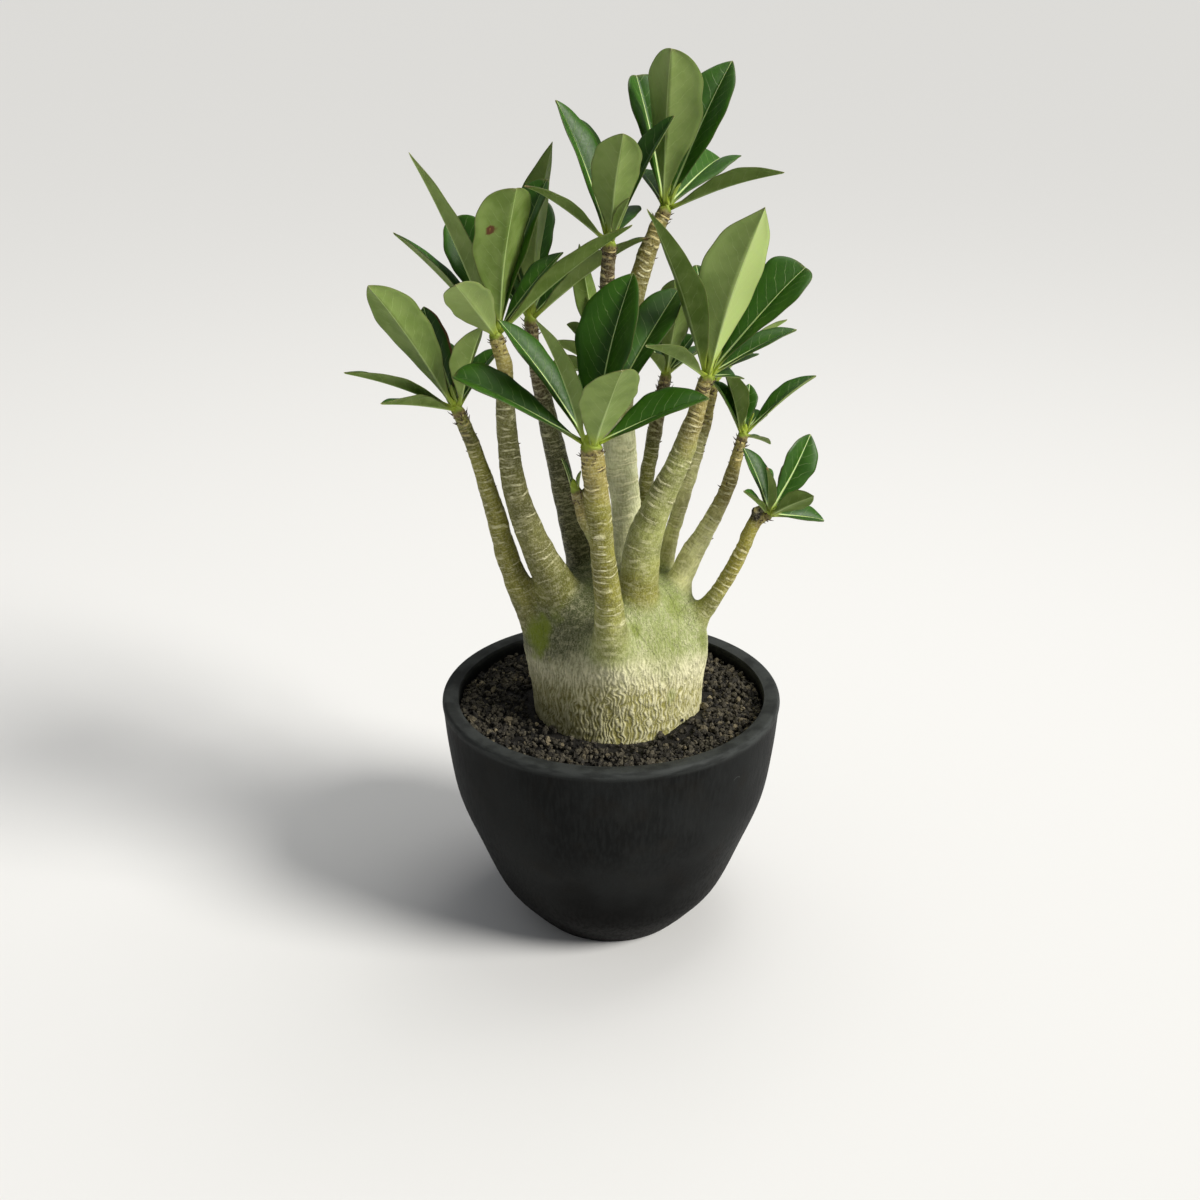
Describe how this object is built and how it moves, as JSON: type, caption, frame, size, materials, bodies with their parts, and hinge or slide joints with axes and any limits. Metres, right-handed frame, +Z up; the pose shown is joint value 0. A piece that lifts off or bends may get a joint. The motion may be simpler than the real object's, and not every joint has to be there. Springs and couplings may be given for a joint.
{
  "type": "potted desert rose plant",
  "caption": "Desert rose succulent: a swollen caudex that forks into upright branches, each tipped with a head of leathery leaves, growing in grit in a smooth round bowl pot.",
  "frame": {"origin": "centre of the pot's flat base", "axes": "+Z up along the plant, -Y towards the front of the picture, +X to its right"},
  "size_m": [0.2326, 0.1885, 0.4598],
  "materials": {
    "pot_plastic": "matte",
    "grit": "matte",
    "bark": "matte",
    "leaf": "satin"
  },
  "bodies": {
    "root": {"pot": "pot_plastic", "soil": "grit", "plant_body": "bark", "leaves_far_left": "leaf", "leaves_left_front": "leaf", "leaves_left_back": "leaf", "leaves_front": "leaf", "leaves_crown_left": "leaf", "leaves_crown_top": "leaf", "leaves_crown_back": "leaf", "leaves_back": "leaf", "leaves_right_front": "leaf", "leaves_right_back": "leaf", "leaves_right": "leaf", "leaves_far_right": "leaf", "leaves_bud": "leaf"}
  },
  "joints": []
}
